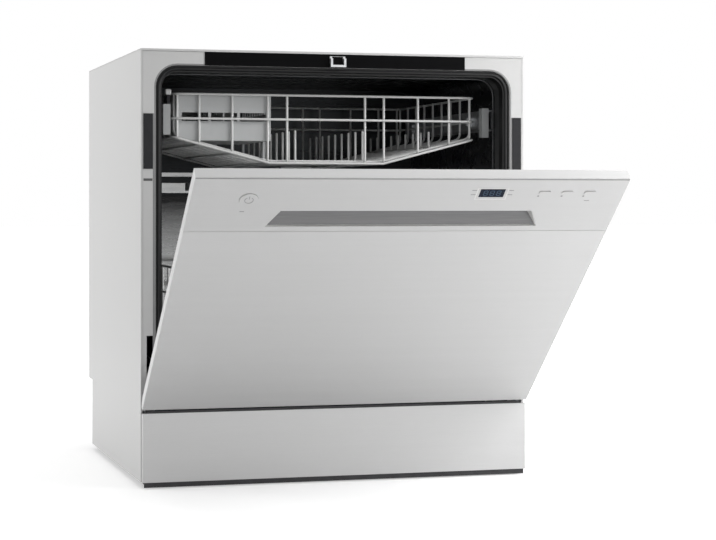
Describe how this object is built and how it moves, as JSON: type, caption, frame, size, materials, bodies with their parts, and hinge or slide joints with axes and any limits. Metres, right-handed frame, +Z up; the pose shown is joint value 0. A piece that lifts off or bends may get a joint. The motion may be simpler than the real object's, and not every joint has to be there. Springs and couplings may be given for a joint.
{
  "type": "countertop dishwasher",
  "caption": "Countertop dishwasher with a drop-down door, two pull-out racks, spray arms, filter, pumps and a control panel with a recessed handle.",
  "frame": {"origin": "on the floor, at the centre of the outer box, with the door part-way open", "axes": "+Z up, the door and racks come out towards -Y, +X to the right as seen from the front"},
  "size_m": [0.55, 0.87, 0.595],
  "materials": {
    "cabinet_paint": "silver-grey powder coat, fine grain",
    "door_finish": "satin silver, fine horizontal brushing",
    "panel_plastic": "silver lacquered plastic, satin",
    "stainless": "polished stainless sheet",
    "zinc_steel": "zinc-plated sheet and rod",
    "black_plastic": "moulded, fine texture",
    "grey_plastic": "moulded polypropylene",
    "white_plastic": "moulded polypropylene",
    "coated_wire": "nylon-coated steel wire",
    "rubber": "soft black rubber",
    "display_lens": "dark tinted lens",
    "circuit_board": "solder mask with black parts"
  },
  "bodies": {
    "cabinet": {"side_panel_left": "cabinet_paint", "side_panel_right": "cabinet_paint", "top_panel": "cabinet_paint", "rear_panel": "zinc_steel", "base_tray": "black_plastic", "kickplate": "door_finish", "front_frame": "cabinet_paint", "frame_inserts": "black_plastic", "latch_strip": "black_plastic", "latch_striker": "zinc_steel", "door_seal": "rubber", "tub": "stainless", "sump": "black_plastic", "filter_plate": "stainless", "softener": "white_plastic", "feed_pipe": "grey_plastic", "circulation_pump": "black_plastic", "drain_pump": "black_plastic", "heater": "zinc_steel", "inlet_valve": "white_plastic", "air_break": "grey_plastic", "cord_gland": "black_plastic", "hinge_brackets": "zinc_steel", "tub_rails": "zinc_steel", "rear_screws": "zinc_steel", "door_springs": "zinc_steel"},
    "door": {"door_panel": "door_finish", "control_panel": "panel_plastic", "door_liner": "stainless", "hinge_arms": "zinc_steel", "dispenser": "grey_plastic", "display_window": "display_lens", "door_latch": "black_plastic", "control_board": "circuit_board"},
    "upper_rack": {"upper_rack": "coated_wire", "rack_rails": "zinc_steel", "rail_caps": "grey_plastic", "rack_feed_tube": "grey_plastic"},
    "lower_rack": {"lower_rack": "coated_wire"},
    "front_foot_left": {"front_foot_left": "rubber"},
    "front_foot_right": {"front_foot_right": "rubber"},
    "upper_spray_arm": {"upper_spray_arm": "grey_plastic"},
    "cutlery_basket": {"cutlery_basket": "grey_plastic"},
    "folding_tines": {"folding_tines": "coated_wire"},
    "wheel_front_left": {"wheel_front_left": "white_plastic"},
    "wheel_front_right": {"wheel_front_right": "white_plastic"},
    "wheel_rear_left": {"wheel_rear_left": "white_plastic"},
    "wheel_rear_right": {"wheel_rear_right": "white_plastic"},
    "lower_spray_arm": {"lower_spray_arm": "grey_plastic"},
    "filter_cup": {"filter_cup": "grey_plastic"},
    "salt_cap": {"salt_cap": "grey_plastic"},
    "float": {"float": "white_plastic"},
    "pump_impeller": {"pump_impeller": "white_plastic"},
    "dispenser_lid": {"dispenser_lid": "grey_plastic"},
    "rinse_cap": {"rinse_cap": "grey_plastic"},
    "power_button": {"power_button": "panel_plastic"},
    "latch_hook": {"latch_hook": "zinc_steel"},
    "key_left": {"key_left": "panel_plastic"},
    "key_middle": {"key_middle": "panel_plastic"},
    "key_right": {"key_right": "panel_plastic"}
  },
  "joints": [
    {"name": "door_hinge", "type": "hinge", "parent": "cabinet", "child": "door", "pos_m": [0, -0.06296, 0.114], "axis": [1, 0, 0], "range_deg": [-50, 40], "deforming": ["door_springs"]},
    {"name": "upper_rack_slide", "type": "slide", "parent": "cabinet", "child": "upper_rack", "axis": [0, -1, 0], "range_m": [0, 0.28]},
    {"name": "lower_rack_slide", "type": "slide", "parent": "cabinet", "child": "lower_rack", "axis": [0, -1, 0], "range_m": [0, 0.055]},
    {"name": "wheel_front_left_spin", "type": "hinge", "parent": "lower_rack", "child": "wheel_front_left", "pos_m": [-0.227, 0.04504, 0.1703], "axis": [1, 0, 0], "continuous": true},
    {"name": "wheel_front_right_spin", "type": "hinge", "parent": "lower_rack", "child": "wheel_front_right", "pos_m": [0.227, 0.04504, 0.1703], "axis": [1, 0, 0], "continuous": true},
    {"name": "wheel_rear_left_spin", "type": "hinge", "parent": "lower_rack", "child": "wheel_rear_left", "pos_m": [-0.227, 0.32784, 0.1703], "axis": [1, 0, 0], "continuous": true},
    {"name": "wheel_rear_right_spin", "type": "hinge", "parent": "lower_rack", "child": "wheel_rear_right", "pos_m": [0.227, 0.32784, 0.1703], "axis": [1, 0, 0], "continuous": true},
    {"name": "upper_arm_spin", "type": "hinge", "parent": "upper_rack", "child": "upper_spray_arm", "pos_m": [0, 0.18344, 0.404], "axis": [0, 0, 1], "continuous": true},
    {"name": "lower_arm_spin", "type": "hinge", "parent": "cabinet", "child": "lower_spray_arm", "pos_m": [0, 0.18344, 0.16], "axis": [0, 0, 1], "continuous": true},
    {"name": "basket_lift", "type": "slide", "parent": "upper_rack", "child": "cutlery_basket", "axis": [0, 0, 1], "range_m": [0, 0.026]},
    {"name": "tine_fold", "type": "hinge", "parent": "lower_rack", "child": "folding_tines", "pos_m": [0, 0.14519, 0.18418], "axis": [1, 0, 0], "range_deg": [0, 85]},
    {"name": "filter_twist", "type": "hinge", "parent": "cabinet", "child": "filter_cup", "pos_m": [0.075, 0.11144, 0.148], "axis": [0, 0, 1], "range_deg": [0, 90]},
    {"name": "salt_cap_screw", "type": "hinge", "parent": "cabinet", "child": "salt_cap", "pos_m": [-0.165, 0.18344, 0.15], "axis": [0, 0, 1], "range_deg": [0, 540]},
    {"name": "float_rise", "type": "slide", "parent": "cabinet", "child": "float", "axis": [0, 0, 1], "range_m": [0, 0.004]},
    {"name": "impeller_spin", "type": "hinge", "parent": "cabinet", "child": "pump_impeller", "pos_m": [0.075, 0.18174, 0.08], "axis": [0, 1, 0], "continuous": true},
    {"name": "dispenser_lid_hinge", "type": "hinge", "parent": "door", "child": "dispenser_lid", "pos_m": [-0.031, -0.18788, 0.27939], "axis": [-1, 0, 0], "range_deg": [0, 100]},
    {"name": "rinse_cap_twist", "type": "hinge", "parent": "door", "child": "rinse_cap", "pos_m": [0.046, -0.21801, 0.30415], "axis": [0, 0.6428, 0.766], "range_deg": [0, 90]},
    {"name": "power_press", "type": "slide", "parent": "door", "child": "power_button", "axis": [0, 0.6428, 0.766], "range_m": [0, 0.0015], "stiffness_N_per_m": 300},
    {"name": "key_left_press", "type": "slide", "parent": "door", "child": "key_left", "axis": [0, 0.6428, 0.766], "range_m": [0, 0.0015], "stiffness_N_per_m": 200},
    {"name": "key_middle_press", "type": "slide", "parent": "door", "child": "key_middle", "axis": [0, 0.6428, 0.766], "range_m": [0, 0.0015], "stiffness_N_per_m": 200},
    {"name": "key_right_press", "type": "slide", "parent": "door", "child": "key_right", "axis": [0, 0.6428, 0.766], "range_m": [0, 0.0015], "stiffness_N_per_m": 200},
    {"name": "latch_hook_pivot", "type": "hinge", "parent": "door", "child": "latch_hook", "pos_m": [0, -0.4248, 0.41475], "axis": [-1, 0, 0], "range_deg": [0, 15], "stiffness_Nm_per_rad": 0.05},
    {"name": "foot_left_adjust", "type": "slide", "parent": "cabinet", "child": "front_foot_left", "axis": [0, 0, -1], "range_m": [0, 0.012]},
    {"name": "foot_right_adjust", "type": "slide", "parent": "cabinet", "child": "front_foot_right", "axis": [0, 0, -1], "range_m": [0, 0.012]}
  ],
  "couplings": [
    {"joint": "wheel_front_left_spin", "follows": "lower_rack_slide", "rad_per_m": 71.429},
    {"joint": "wheel_front_right_spin", "follows": "lower_rack_slide", "rad_per_m": 71.429},
    {"joint": "wheel_rear_left_spin", "follows": "lower_rack_slide", "rad_per_m": 71.429},
    {"joint": "wheel_rear_right_spin", "follows": "lower_rack_slide", "rad_per_m": 71.429}
  ]
}
